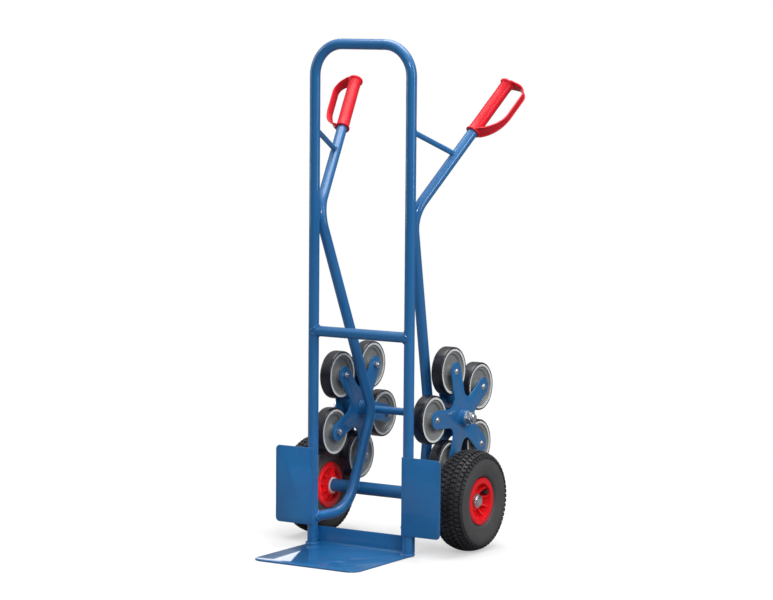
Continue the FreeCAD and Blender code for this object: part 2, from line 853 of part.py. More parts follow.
body = new_body("StarAxle")
rod_side = (
    (rod_end, f"{rod_radius} - thread_chamfer"),
    (f"{rod_end} - thread_chamfer", rod_radius),
    (collar_out, rod_radius),
    (collar_out, "collar_diameter / 2"),
    (collar_in, "collar_diameter / 2"),
    (collar_in, rod_radius),
)
other_side = tuple((f"-({along})", out) for along, out in reversed(rod_side))
turned(body, [((f"-{rod_end}", "0"), (rod_end, "0")) + rod_side + other_side])
keep(body, "star_axle", star_place)


def hexagon(sketch, across, flats):
    """Corners of a nut, with one corner straight out from the axis."""
    corners = []
    for corner in range(6):
        reach = f"{flats} / sqrt(3)"
        corners.append((f"{across} + {reach} * cos({corner * 60} deg)", f"{reach} * sin({corner * 60} deg)"))
    outline(sketch, corners)


body = new_body("StarNuts")
section = sketch_on(body, "YZ_Plane", "nut_section", nut_in)
hexagon(section, "0", "star_nut_flats")
circle(section, "0", "0", "axle_diameter / 2 + hole_clearance")
nut = pad(body, section, "star_nut_height")
mirror_across_middle(body, [nut])
keep(body, "star_nuts", star_place)

# the washers are alike: one outboard of each wheel hub and one each side of each star hub
washer_places = []
for starts, place in (
    ((outboard_end,), axle_place),
    ((f"{hub_in} - side_clearance - washer_thickness", f"{hub_out} + side_clearance"), star_place),
):
    for start in starts:
        middle = size(f"{start} + washer_thickness / 2")
        for mirror in MIRROR.values():
            washer_places.append(place.multVec(Vector(mirror * middle, 0, 0)))
thickness = size("washer_thickness")
washers = []
for centre in washer_places:
    corner = centre - Vector(thickness / 2, 0, 0)
    disc = Part.makeCylinder(size("washer_diameter / 2"), thickness, corner, Vector(1, 0, 0))
    hole = Part.makeCylinder(size("axle_diameter / 2 + hole_clearance"), thickness, corner, Vector(1, 0, 0))
    washers.append(disc.cut(hole))
item = doc.addObject("Part::Feature", "AxleWashers")
item.Shape = Part.makeCompound(washers)
keep(item, "axle_washers")


# ---- star wheels: two plates of five arms on a hub tube, with a small wheel on every arm ----------
# In a star's own frame X is its axle, pointing away from the truck, and the first arm lies along Y.

plate_inside = "(star_plate_gap / 2)"
plate_outside = "(star_plate_gap / 2 + star_plate_thickness)"


def build_star_plate(side, name, start, place):
    body = new_body(f"{side.title()}{name.title()}StarPlate")
    arm = sketch_on(body, "YZ_Plane", "arm_outline", start)
    half_arm = "star_arm_width / 2"
    outline(arm, (
        ("0", "-star_arm_width / 2"),
        ("star_pitch", "-star_arm_width / 2"),
        ("star_pitch", half_arm),
        ("0", half_arm),
    ))
    straight = pad(body, arm, "star_plate_thickness")
    tip = sketch_on(body, "YZ_Plane", "tip_outline", start)
    circle(tip, "star_pitch", "0", half_arm)
    end = pad(body, tip, "star_plate_thickness")
    arms = repeat_round_axis(body, [straight, end], ARMS)
    notch_radius = size("star_arm_width / 2") / math.sin(math.pi / ARMS)
    round_edges(
        body, arms, "star_arm_fillet",
        lambda edge: abs(edge.tangentAt(0).x) > 0.9
        and abs(math.hypot(edge.CenterOfMass.y, edge.CenterOfMass.z) - notch_radius) < 0.5,
    )
    centre = sketch_on(body, "YZ_Plane", "hub_hole")
    circle(centre, "0", "0", "star_hub_diameter / 2 + hole_clearance")
    cut_through(body, centre)
    bolt_hole = sketch_on(body, "YZ_Plane", "bolt_hole")
    circle(bolt_hole, "star_pitch", "0", "bolt_diameter / 2 + hole_clearance")
    repeat_round_axis(body, [cut_through(body, bolt_hole)], ARMS)
    keep(body, f"{side}_star_{name}_plate", place)


def build_star_hub(side, place):
    body = new_body(f"{side.title()}StarHub")
    section = sketch_on(body, "YZ_Plane", "hub_section", "-star_hub_inboard")
    circle(section, "0", "0", "star_hub_diameter / 2")
    circle(section, "0", "0", "star_hub_bore / 2")
    pad(body, section, "star_hub_inboard + star_hub_outboard")
    keep(body, f"{side}_star_hub", place)

    body = new_body(f"{side.title()}StarBushes")
    inner = "axle_diameter / 2 + running_fit"
    outer = "star_hub_bore / 2 - running_fit"
    turned(body, [
        ring_section("-star_hub_inboard", "-star_hub_inboard + bush_length", inner, outer),
        ring_section("star_hub_outboard - bush_length", "star_hub_outboard", inner, outer),
    ])
    keep(body, f"{side}_star_bushes", place)


def build_star_fasteners(side, place):
    """Dome-headed bolts with the nuts inboard, and the spacer tubes that the small wheels turn on."""
    shank = "bolt_diameter / 2"
    head = "bolt_head_diameter / 2"
    head_start = f"({plate_outside} + side_clearance / 3)"
    tip = f"-({plate_outside} + bolt_nut_height + bolt_end)"
    body = new_body(f"{side.title()}StarBolts")
    bolt = turned(body, [(
        (tip, "0"),
        (f"{head_start} + bolt_head_height", "0"),
        (f"{head_start} + bolt_head_height", f"{head} - bolt_head_height", "-bolt_head_height"),
        (head_start, head),
        (head_start, shank),
        (f"{tip} + bolt_chamfer", shank),
        (tip, f"{shank} - bolt_chamfer"),
    )], axis="star_pitch")
    repeat_round_axis(body, [bolt], ARMS)
    keep(body, f"{side}_star_bolts", place)

    body = new_body(f"{side.title()}StarNuts")
    nut_start = f"-({plate_outside} + side_clearance / 3 + bolt_nut_height)"
    section = sketch_on(body, "YZ_Plane", "nut_section", nut_start)
    hexagon(section, "star_pitch", "bolt_nut_flats")
    circle(section, "star_pitch", "0", f"{shank} + hole_clearance / 2")
    nut = pad(body, section, "bolt_nut_height")
    repeat_round_axis(body, [nut], ARMS)
    keep(body, f"{side}_star_bolt_nuts", place)

    body = new_body(f"{side.title()}StarSpacers")
    section = sketch_on(body, "YZ_Plane", "spacer_section")
    circle(section, "star_pitch", "0", "spacer_diameter / 2")
    circle(section, "star_pitch", "0", f"{shank} + hole_clearance")
    spacer = pad(body, section, "star_plate_gap - hole_clearance * 2", middle=True)
    repeat_round_axis(body, [spacer], ARMS)
    keep(body, f"{side}_star_spacers", place)


def build_small_wheel(label, place):
    name = label.title().replace("_", "")
    ring = "(small_wheel_diameter / 2 - small_tread)"
    edge = "(small_tread / 2)"
    half_tread = "small_wheel_width / 2"
    outer = "small_wheel_diameter / 2"

    body = new_body(f"{name}Tread")
    turned(body, [(
        (f"-{half_tread}", f"{ring} + running_fit"),
        (half_tread, f"{ring} + running_fit"),
        (half_tread, f"{outer} - {edge}", edge),
        (f"{half_tread} - {edge}", outer),
        (f"-({half_tread} - {edge})", outer, edge),
        (f"-({half_tread})", f"{outer} - {edge}"),
    )])
    keep(body, f"{label}_tread", place)

    body = new_body(f"{name}Rim")
    bore = "(spacer_diameter / 2 + running_fit * 1.5)"
    hub = "small_hub_diameter / 2"
    hub_end = "small_hub_length / 2"
    web = "small_rim_web / 2"
    face = "small_rim_width / 2"
    inside = f"({ring} - small_rim_ring)"
    turned(body, [(
        (f"-{hub_end}", bore),
        (hub_end, bore),
        (hub_end, hub),
        (web, hub),
        (web, inside),
        (face, inside),
        (face, ring),
        (f"-{face}", ring),
        (f"-{face}", inside),
        (f"-{web}", inside),
        (f"-{web}", hub),
        (f"-{hub_end}", hub),
    )])
    keep(body, f"{label}_rim", place)


for side, turn in (("left", LEFT_STAR_TURN), ("right", RIGHT_STAR_TURN)):
    place = outward_frame(side, star_x, star_y, star_z, turn)
    build_star_plate(side, "inner", f"-{plate_outside}", place)
    build_star_plate(side, "outer", plate_inside, place)
    build_star_hub(side, place)
    build_star_fasteners(side, place)
    for arm_number in range(ARMS):
        angle = 2 * math.pi * arm_number / ARMS
        pitch = size("star_pitch")
        centre = place.multVec(Vector(0, pitch * math.cos(angle), pitch * math.sin(angle)))
        build_small_wheel(f"{side}_star_wheel_{arm_number + 1}", Placement(centre, Rotation()))
        print(f"{side} star wheel {arm_number + 1} at", [round(value, 4) for value in centre])


# ---- checks and files -------------------------------------------------------------------------------

doc.recompute()
for item in doc.Objects:
    faults = {"Invalid", "Error"} & set(item.State)
    assert not faults, f"{item.Label} is {faults}"
names = [item.Label for item in subparts]
assert len(names) == len(set(names)), "two sub-parts share a name"
for item in subparts:
    assert not item.Shape.isNull() and item.Shape.isValid(), f"{item.Label} has no valid shape"
    assert item.Shape.Solids, f"{item.Label} has no solid"

os.makedirs("parts", exist_ok=True)
for item in subparts:
    item.Shape.exportStep(f"parts/{item.Label}.step")
print(len(subparts), "sub-parts written")
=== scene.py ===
import json
import math

import bpy
from mathutils import Matrix, Vector


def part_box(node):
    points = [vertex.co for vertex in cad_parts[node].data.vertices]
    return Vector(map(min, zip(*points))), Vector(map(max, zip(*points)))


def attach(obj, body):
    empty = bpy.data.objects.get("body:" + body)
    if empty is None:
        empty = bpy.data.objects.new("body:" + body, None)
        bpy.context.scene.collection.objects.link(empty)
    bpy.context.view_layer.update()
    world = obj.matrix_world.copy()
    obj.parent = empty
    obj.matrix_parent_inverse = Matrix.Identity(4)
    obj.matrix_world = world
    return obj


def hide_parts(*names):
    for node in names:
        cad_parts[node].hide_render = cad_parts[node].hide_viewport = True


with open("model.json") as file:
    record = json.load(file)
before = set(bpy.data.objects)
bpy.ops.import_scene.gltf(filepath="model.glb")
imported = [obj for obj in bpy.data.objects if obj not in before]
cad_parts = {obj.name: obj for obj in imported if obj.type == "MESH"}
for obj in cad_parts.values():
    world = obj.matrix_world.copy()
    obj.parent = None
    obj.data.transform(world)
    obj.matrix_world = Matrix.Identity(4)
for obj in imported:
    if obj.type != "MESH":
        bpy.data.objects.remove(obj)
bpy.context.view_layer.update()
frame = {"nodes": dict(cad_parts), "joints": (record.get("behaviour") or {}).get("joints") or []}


# ---- studio --------------------------------------------------------------------------------------
# A pale floor that fades into a white surround, lit by a wide soft lamp overhead, a softbox on each
# side and a broad fill in front. A low card behind gives the load plate its sheen, a glint card
# catches the tubes, and a narrow snoot lights the left rim.

CAMERA_PLACE = Vector((3.88597, -6.09877, 1.35442))
CAMERA_HEADING = 0.5585
CAMERA_PITCH = 0.0981
CAMERA_ROLL = 0.0082
CAMERA_LENS = 133.84
SNOOT_SPREAD = math.radians(2.5)
WHITE = (1, 1, 1, 1)
SHADOW_REACH = 0.9
FLOOR_END = 2.2
FLOOR_GLOW = 0.45
FLOOR_SEEN = (0.9, 0.9, 0.9)
FLOOR_MIRRORED = (0.20, 0.20, 0.21)


class Wire:
    """An output socket in a tree of nodes. Arithmetic on it adds Math nodes."""

    def __init__(self, finish, socket):
        self.finish = finish
        self.socket = socket

    def math(self, operation, first, second):
        return self.finish.add("ShaderNodeMath", {"operation": operation}, {0: first, 1: second})

    def __radd__(self, other):
        return self.math("ADD", other, self)

    def __rsub__(self, other):
        return self.math("SUBTRACT", other, self)

    def __mul__(self, other):
        return self.math("MULTIPLY", self, other)


class Finish:
    """A material or a world made of nodes. add() puts one node in and returns one of its outputs."""

    def __init__(self, name, owners="materials"):
        self.owner = getattr(bpy.data, owners).new(name)
        self.owner.use_nodes = True
        self.tree = self.owner.node_tree
        self.tree.nodes.clear()

    def add(self, kind, settings, inputs, output=0):
        node = self.tree.nodes.new(kind)
        for name, value in settings.items():
            setattr(node, name, value)
        for name, value in inputs.items():
            if isinstance(value, Wire):
                self.tree.links.new(value.socket, node.inputs[name])
            else:
                node.inputs[name].default_value = value
        return Wire(self, node.outputs[output])

    def place(self):
        return self.add("ShaderNodeTexCoord", {}, {}, "Object")

    def from_axle(self):
        """Distance from the axle of a turned piece, ten to the metre."""
        turned = self.add("ShaderNodeTexCoord", {}, {}, "UV")
        return self.add("ShaderNodeSeparateXYZ", {}, {"Vector": turned}, "X")

    def noise(self, scale, detail=2.0):
        """Soft random values from 0 to 1, with scale in patches to the metre."""
        inputs = {"Vector": self.place(), "Scale": scale, "Detail": detail}
        return self.add("ShaderNodeTexNoise", {}, inputs)

    def between(self, factor, low, high):
        """Blends two colours, low where factor is 0."""
        settings = {"data_type": "RGBA", "clamp_factor": True}
        low = low if isinstance(low, Wire) else (*low, 1)
        high = high if isinstance(high, Wire) else (*high, 1)
        colour_output = 2
        return self.add("ShaderNodeMix", settings, {0: factor, 6: low, 7: high}, colour_output)

    def spread(self, value, start, end):
        """Stretches a value so that start becomes 0 and end becomes 1, and clips it there."""
        inputs = {"Value": value, "From Min": start, "From Max": end}
        return self.add("ShaderNodeMapRange", {"clamp": True}, inputs)

    def cloud(self, scale, detail=2.0):
        """Noise with its middle spread out, for a tone that drifts over a surface."""
        return self.spread(self.noise(scale, detail), 0.3, 0.7)

    def bump(self, height, depth):
        """A Normal from a height of 0 to 1 that stands for depth metres."""
        return self.add("ShaderNodeBump", {}, {"Height": height, "Strength": 1.0, "Distance": depth})

    def surface(self, shader, kind="ShaderNodeOutputMaterial"):
        """Joins a shader to the output, and returns the finished material or world."""
        output = self.tree.nodes.new(kind)
        self.tree.links.new(shader.socket, output.inputs["Surface"])
        return self.owner

    def principled(self, inputs):
        """The finished material, with a Principled shader of these inputs."""
        return self.surface(self.add("ShaderNodeBsdfPrincipled", {}, inputs))


def studio_floor():
    """White where the camera looks past the shadow, a plain pale floor to everything else."""
    finish = Finish("studio_floor")
    reach = finish.add("ShaderNodeVectorMath", {"operation": "LENGTH"}, {0: finish.place()}, "Value")
    faded = finish.spread(reach, SHADOW_REACH, FLOOR_END)
    seen = finish.add("ShaderNodeLightPath", {}, {}, "Is Camera Ray")
    tone = finish.between(seen, FLOOR_MIRRORED, FLOOR_SEEN)
    lit = finish.add("ShaderNodeBsdfDiffuse", {}, {"Color": tone})
    glow = finish.add("ShaderNodeEmission", {}, {"Color": WHITE, "Strength": 1.0})
    blend = (FLOOR_GLOW + faded * (1 - FLOOR_GLOW)) * seen
    return finish.surface(finish.add("ShaderNodeMixShader", {}, {0: blend, 1: lit, 2: glow}))


def studio_surround():
    """White to the camera, and to everything else a room dim at eye level and pale overhead."""
    room = Finish("studio_surround", "worlds")
    heading = room.add("ShaderNodeTexCoord", {}, {}, "Generated")
    height = room.add("ShaderNodeSeparateXYZ", {}, {"Vector": heading}, "Z")
    glow = room.add("ShaderNodeMapRange", {"clamp": True}, {
        "Value": height, "From Min": 0.12, "From Max": 0.75, "To Min": 0.05, "To Max": 0.75,
    })
    walls = room.add("ShaderNodeBackground", {}, {"Color": WHITE, "Strength": glow})
    plain = room.add("ShaderNodeBackground", {}, {"Color": WHITE, "Strength": 1.0})
    seen = room.add("ShaderNodeLightPath", {}, {}, "Is Camera Ray")
    chosen = room.add("ShaderNodeMixShader", {}, {0: seen, 1: walls, 2: plain})
    return room.surface(chosen, "ShaderNodeOutputWorld")


def soft_lamp(name, place, aim, size, power):
    """A rectangular lamp of a size in metres and a power in watts, which the camera doesn't see."""
    bpy.ops.object.light_add(type="AREA", location=place)
    lamp = bpy.context.object
    lamp.name = name
    lamp.data.shape = "RECTANGLE"
    lamp.data.size, lamp.data.size_y = size
    lamp.data.energy = power
    lamp.rotation_euler = (Vector(aim) - Vector(place)).to_track_quat("-Z", "Y").to_euler()
    lamp.visible_camera = False
    return lamp


# the floor lies a hair below the feet, so that they don't share a surface
bpy.ops.object.select_all(action="DESELECT")
bpy.ops.mesh.primitive_plane_add(size=60, location=(0, 0, -0.0005))
studio = bpy.context.object
studio.name = "studio_floor"
studio.data.materials.append(studio_floor())

soft_lamp("overhead", place=(0.1, 0.5, 3.2), aim=(0, 0, 0.4), size=(2.6, 1.8), power=68)
soft_lamp("left_softbox", place=(-3.2, -0.9, 1.7), aim=(0, 0, 0.6), size=(0.7, 2.4), power=22)
soft_lamp("right_softbox", place=(3.6, 0.4, 1.8), aim=(0, 0, 0.6), size=(0.7, 2.4), power=31)
soft_lamp("low_card", place=(-1.75, 2.05, 0.62), aim=(-0.12, -0.24, 0.0), size=(0.4, 0.9), power=2.2)
soft_lamp("glint_card", place=(3.0, -4.6, 3.4), aim=(0, 0, 0.6), size=(0.9, 0.9), power=60)
front_fill = soft_lamp("front_fill", place=(4.7, -2.9, 2.6), aim=(0, 0, 0.5), size=(1.8, 1.8), power=98)
rim_snoot = soft_lamp(
    "rim_snoot", place=(3.0, -2.1, 0.45), aim=(-0.24, 0.163, 0.13), size=(0.3, 0.2), power=0.10
)
rim_snoot.data.spread = SNOOT_SPREAD
for fill in (front_fill, rim_snoot):
    fill.visible_glossy = False
bpy.context.scene.world = studio_surround()

ahead = Vector((
    -math.sin(CAMERA_HEADING) * math.cos(CAMERA_PITCH),
    math.cos(CAMERA_HEADING) * math.cos(CAMERA_PITCH),
    -math.sin(CAMERA_PITCH),
))
level = Vector((math.cos(CAMERA_HEADING), math.sin(CAMERA_HEADING), 0))
upward = level.cross(ahead)
across = level * math.cos(CAMERA_ROLL) + upward * math.sin(CAMERA_ROLL)
above = upward * math.cos(CAMERA_ROLL) - level * math.sin(CAMERA_ROLL)
bpy.ops.object.camera_add()
camera = bpy.context.object
facing = Matrix((across, above, -ahead)).transposed().to_4x4()
camera.matrix_world = Matrix.Translation(CAMERA_PLACE) @ facing
camera.data.lens = CAMERA_LENS
camera.data.sensor_width = 36
camera.data.clip_end = 100
bpy.context.scene.camera = camera
bpy.context.scene.view_settings.view_transform = "Standard"


# ---- painted frame tubes -------------------------------------------------------------------------
# Bent and welded steel tube under one coat of glossy blue powder paint, which keeps the faint
# unevenness of baked powder. The tubes are the model's own, with the paint on them.

DEEP_BLUE = (0.012, 0.132, 0.350)
PALE_BLUE = (0.015, 0.146, 0.380)


def blue_paint():
    finish = Finish("blue_powder_paint")
    tone = finish.spread(finish.noise(5.0), 0.35, 0.65)
    return finish.principled({
        "Base Color": finish.between(tone, DEEP_BLUE, PALE_BLUE),
        "Roughness": 0.34 + finish.noise(35.0) * 0.10,
        "Specular IOR Level": 0.35,
        "Coat Weight": 0.8,
        "Coat Roughness": 0.04,
        "Normal": finish.bump(finish.noise(420.0, 1.0), 0.00002),
    })


def paint_node(node, material):
    slots = frame["nodes"][node].data.materials
    for number in range(len(slots)):
        slots[number] = material
    if not slots:
        slots.append(material)


PAINT = blue_paint()
for node in ("main_frame_tube", "cross_tube", "left_side_tube", "right_side_tube",
             "left_handle_brace", "right_handle_brace", "axle_tube"):
    paint_node(node, PAINT)


# ---- sheet metal: load plate, deflector plates, star plates --------------------------------------
# Laser-cut and folded steel sheet, painted with the frame. Each is the model's sheet with its cut
# edges broken, as tumbling and paint leave them. The star hubs are tube, broken the same way.

SIDES = {"left": -1, "right": 1}
SHARP_EDGE = math.radians(32)
FLAT_ENOUGH = math.radians(0.6)


def choose(piece):
    bpy.ops.object.select_all(action="DESELECT")
    piece.select_set(True)
    bpy.context.view_layer.objects.active = piece


def edit_all():
    """Enters edit mode on the active piece with all of it selected."""
    bpy.ops.object.mode_set(mode="EDIT")
    bpy.ops.mesh.select_all(action="SELECT")


def apply_modifiers(piece):
    choose(piece)
    for modifier in list(piece.modifiers):
        bpy.ops.object.modifier_apply(modifier=modifier.name)


def break_edges(piece, width, segments=2):
    """Rounds every sharp edge of a piece."""
    bevel = piece.modifiers.new("broken_edges", "BEVEL")
    bevel.width = width
    bevel.segments = segments
    bevel.limit_method = "ANGLE"
    bevel.angle_limit = SHARP_EDGE
    apply_modifiers(piece)


def fit(piece, body, material, place=(0, 0, 0)):
    """Moves a finished piece to its place and gives it its finish and the body that it rides on."""
    choose(piece)
    piece.location = place
    bpy.ops.object.transform_apply(location=True, rotation=True, scale=True)
    piece.data.materials.clear()
    piece.data.materials.append(material)
    bpy.ops.object.shade_smooth_by_angle(angle=SHARP_EDGE)
    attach(piece, body)


def softened(node, name, body, material, width, segments=2):
    """A copy of a node with its flats merged and its edges broken, in place of the node."""
    piece = bpy.data.objects.new(name, frame["nodes"][node].data.copy())
    bpy.context.scene.collection.objects.link(piece)
    choose(piece)
    edit_all()
    bpy.ops.mesh.remove_doubles(threshold=1e-5)
    bpy.ops.mesh.dissolve_limited(angle_limit=FLAT_ENOUGH)
    bpy.ops.object.mode_set(mode="OBJECT")
    break_edges(piece, width, segments)
    fit(piece, body, material)
    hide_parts(node)


softened("load_plate", "load_plate_sheet", "frame", PAINT, width=0.0011)
for side in SIDES:
    name = f"{side}_deflector_sheet"
    softened(f"{side}_deflector_plate", name, "frame", PAINT, width=0.0009)
    star = f"{side}_star"
    for face in ("inner", "outer"):
        name = f"{star}_{face}_sheet"
        softened(f"{star}_{face}_plate", name, star, PAINT, width=0.0007)
    softened(f"{star}_hub", f"{star}_hub_tube", star, PAINT, width=0.0008)


# ---- weld beads ----------------------------------------------------------------------------------
# Runs of MIG weld where tubes and sheets meet, laid in overlapping ripples and painted over with
# the frame. Round tubes are welded all round and sheets are stitched.

UP = Vector((0, 0, 1))
ACROSS = Vector((1, 0, 0))
REARWARD = Vector((0, 1, 0))
TUBE = 0.0135
BRACE = 0.007
AXLE_TUBE = 0.017
STAR_AXLE = 0.010
STAR_HUB = 0.020
STAR_PLATE_FACE = 0.02375
BRACE_HEIGHT = 1.073
TOUCH_HEIGHT = 0.862
HANDLE_END = Vector((0.23135, 0.3245, 1.184))
HANDLE_ALONG = Vector((0.20064, 0.67791, 0.70724)).normalized()
BRACE_BELOW_END = 0.2473
FOOT_BEND = Vector((0.11275, 0.1145, 0.074))
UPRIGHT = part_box("main_frame_tube")[1].x - TUBE
CROSS_HEIGHT = (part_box("cross_tube")[0].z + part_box("cross_tube")[1].z) / 2
joint_place = {joint["name"]: Vector(joint["pos_m"]) for joint in frame["joints"]}

# the line of a bead: off the tube that is welded on, and off the wall that it is welded to
TUBE_SEAT = TUBE + 0.0008
WALL_SEAT = TUBE + 0.0004
BRACE_SEAT = BRACE + 0.0006
BRACE_WALL_SEAT = TUBE + 0.0003
HUB_SEAT = STAR_HUB + 0.0006
STAR_PLATE_SEAT = STAR_PLATE_FACE + 0.0004
FOOT_SEAT = TUBE + 0.0014
FOOT_RISE = 0.0052
SHEET_SEAT = 0.0128
DEFLECTOR_STITCH = UPRIGHT + 0.0085
FLANGE_STITCH = UPRIGHT - 0.0075
FLANGE_STITCH_FOOT = 0.014

# half the thickness of each bead
CROSS_BEAD = 0.0026
FOOT_BEAD = 0.0038
STITCH_BEAD = 0.0026
FLANGE_BEAD = 0.0028
BRACE_BEAD = 0.0019
AXLE_TUBE_BEAD = 0.0034
KNEE_BEAD = 0.0024
TOUCH_BEAD = 0.0022
STAR_BEAD = 0.0017

WELD_GAP = 0.0002
RIPPLE = 0.20
POINTS_IN_RIPPLE = 6
POINT_SPACING = 0.0011
STITCH_HEIGHTS = (0.085, 0.155, 0.225)
STITCH_LENGTH = 0.024
FLANGE_STITCH_LENGTH = 0.026


def lay_bead(name, points, thick, closed=True, body="frame"):
    """Weld metal along a path of points, swelling and shrinking a little at each ripple."""
    path = bpy.data.curves.new(name, "CURVE")
    path.dimensions = "3D"
    path.bevel_depth = thick
    path.bevel_resolution = 2
    path.use_fill_caps = True
    run = path.splines.new("POLY")
    run.points.add(len(points) - 1)
    run.use_cyclic_u = closed
    for number, (knot, point) in enumerate(zip(run.points, points)):
        knot.co = (*point, 1)
        knot.radius = 1.0 + RIPPLE * math.sin(2 * math.pi * number / POINTS_IN_RIPPLE)
    bead = bpy.data.objects.new(name, path)
    bpy.context.scene.collection.objects.link(bead)
    choose(bead)
    bpy.ops.object.convert(target="MESH")
    fit(bpy.context.object, body, PAINT)


def circle(centre, first, second, count):
    """Points of a closed ring, with first and second as its two half axes."""
    turns = [2 * math.pi * step / count for step in range(count)]
    return [centre + first * math.cos(turn) + second * math.sin(turn) for turn in turns]


def tube_joint(start, towards, radius, against, against_along, against_radius, count=56):
    """The ring where a tube from start, heading towards a bigger or equal tube, meets its wall."""
    along = (towards - start).normalized()
    sideways = along.orthogonal().normalized()
    ring = []
    for point in circle(start, sideways * radius, along.cross(sideways) * radius, count):
        gap = point - against
        gap -= against_along * gap.dot(against_along)
        heading = along - against_along * along.dot(against_along)
        # the way along the tube to the wall solves square * way**2 + 2 * middle * way + rest = 0
        square = heading.dot(heading)
        middle = gap.dot(heading)
        rest = gap.dot(gap) - against_radius ** 2
        root = math.sqrt(max(middle * middle - square * rest, 0))
        ring.append(point + along * ((-middle - root) / square))
    return ring


def upright_run(low, length):
    """Points straight up from low."""
    count = max(4, int(length / POINT_SPACING))
    return [low + UP * (length * step / count) for step in range(count + 1)]


def nearest(node, point, along):
    """Slides a point along a straight bar to where a node comes closest, and returns both points."""
    for _ in range(12):
        _, surface, _, _ = frame["nodes"][node].closest_point_on_mesh(point)
        point = point + along * (surface - point).dot(along)
    return point, surface


def contact_weld(name, node, bar_point, bar_along, bar_radius, reach, thick):
    """A bead all round the place where a straight bar lies against a bent tube."""
    centre, surface = nearest(node, bar_point, bar_along)
    out = (surface - centre).normalized()
    touching = centre + out * (bar_radius + WELD_GAP / 2)
    sideways = out.cross(bar_along)
    lay_bead(name, circle(touching, bar_along * reach[0], sideways * reach[1], 48), thick)


def mirrored(point, mirror):
    return Vector((mirror * point.x, point.y, point.z))


for side, mirror in SIDES.items():
    # cross tube, bent foot and load plate against the upright
    upright = Vector((mirror * UPRIGHT, 0, 0))
    middle = UP * CROSS_HEIGHT
    ring = tube_joint(middle, upright + middle, TUBE_SEAT, upright, UP, WALL_SEAT)
    lay_bead(f"{side}_cross_tube_weld", ring, CROSS_BEAD)
    end = upright + UP * FOOT_BEND.z
    ring = tube_joint(mirrored(FOOT_BEND, mirror), end, TUBE_SEAT, end, UP, WALL_SEAT)
    lay_bead(f"{side}_foot_weld", ring, FOOT_BEAD)
    ring = circle(upright + UP * FOOT_RISE, ACROSS * FOOT_SEAT, REARWARD * FOOT_SEAT, 60)
    lay_bead(f"{side}_upright_foot_weld", ring, FOOT_BEAD)
    # stitches to the deflector plate in front and to the load plate's flange behind
    for number, height in enumerate(STITCH_HEIGHTS, start=1):
        low = Vector((mirror * DEFLECTOR_STITCH, -SHEET_SEAT, height - STITCH_LENGTH / 2))
        stitch = upright_run(low, STITCH_LENGTH)
        lay_bead(f"{side}_deflector_stitch_{number}", stitch, STITCH_BEAD, closed=False)
    low = Vector((mirror * FLANGE_STITCH, SHEET_SEAT, FLANGE_STITCH_FOOT))
    stitch = upright_run(low, FLANGE_STITCH_LENGTH)
    lay_bead(f"{side}_flange_stitch", stitch, FLANGE_BEAD, closed=False)
    # brace to upright and to handle
    brace_high = upright + UP * BRACE_HEIGHT
    handle_along = mirrored(HANDLE_ALONG, mirror)
    brace_low = mirrored(HANDLE_END, mirror) - handle_along * BRACE_BELOW_END
    halfway = (brace_high + brace_low) / 2
    for name, end, along in (("upper", brace_high, UP), ("lower", brace_low, handle_along)):
        ring = tube_joint(halfway, end, BRACE_SEAT, end, along, BRACE_WALL_SEAT, 36)
        lay_bead(f"{side}_brace_{name}_weld", ring, BRACE_BEAD)
    # axle tube, star axle and upright against the bent side tube
    axle_place = joint_place[f"{side}_wheel_spin"]
    star_place = joint_place[f"{side}_star_spin"]
    touch = upright + UP * TOUCH_HEIGHT
    for name, point, along, radius, reach, thick in (
        ("axle_tube", axle_place, ACROSS, AXLE_TUBE, (0.0085, 0.0080), AXLE_TUBE_BEAD),
        ("knee", star_place, ACROSS, STAR_AXLE, (0.0070, 0.0050), KNEE_BEAD),
        ("touch", touch, UP, TUBE, (0.0200, 0.0050), TOUCH_BEAD),
    ):
        contact_weld(f"{side}_{name}_weld", f"{side}_side_tube", point, along, radius, reach, thick)
    # hub tube to the two star plates
    for name, outward in (("inner", -mirror), ("outer", mirror)):
        face = star_place + ACROSS * (outward * STAR_PLATE_SEAT)
        ring = circle(face, REARWARD * HUB_SEAT, UP * HUB_SEAT, 60)
        lay_bead(f"{side}_star_{name}_weld", ring, STAR_BEAD, body=f"{side}_star")


# ---- zinc-plated fasteners and axle parts --------------------------------------------------------
# Turned and pressed steel with bright, faintly cloudy zinc plate: wheel axle, bearings, caps,
# washers, spacers, star bolts and nuts. The frame's paint covers the star axle, but for its
# threaded ends, and the washers inboard of the stars.

DULL_ZINC = (0.58, 0.61, 0.65)
BRIGHT_ZINC = (0.76, 0.78, 0.80)
MIDDLE_BLUE = (0.014, 0.138, 0.362)
PAINT_EDGE = 0.001
BELOW_STAR_AXLE = 0.06
THREAD_PITCH = 0.0025


def zinc_plate():
    finish = Finish("zinc_plate")
    cloud = finish.cloud(60.0, 3.0)
    return finish.principled({
        "Base Color": finish.between(cloud, DULL_ZINC, BRIGHT_ZINC),
        "Metallic": 0.95,
        "Roughness": 0.18 + cloud * 0.14,
        "Normal": finish.bump(finish.noise(900.0, 1.0), 0.00002),
    })


def part_painted_zinc(inboard_of, above):
    """Zinc plate under the frame's paint, near the middle plane and above a height."""
    finish = Finish("part_painted_zinc")
    cloud = finish.cloud(60.0, 3.0)
    along = finish.add("ShaderNodeSeparateXYZ", {}, {"Vector": finish.place()}, "X")
    height = finish.add("ShaderNodeSeparateXYZ", {}, {"Vector": finish.place()}, "Z")
    out = finish.add("ShaderNodeMath", {"operation": "ABSOLUTE"}, {0: along})
    outboard = finish.spread(out, inboard_of - PAINT_EDGE, inboard_of)
    high = finish.spread(height, above - PAINT_EDGE, above)
    bare = 1.0 - (1.0 - outboard) * high
    zinc = finish.between(cloud, DULL_ZINC, BRIGHT_ZINC)
    return finish.principled({
        "Base Color": finish.between(bare, MIDDLE_BLUE, zinc),
        "Metallic": bare * 0.95,
        "Roughness": 0.30 + cloud * 0.08,
    })


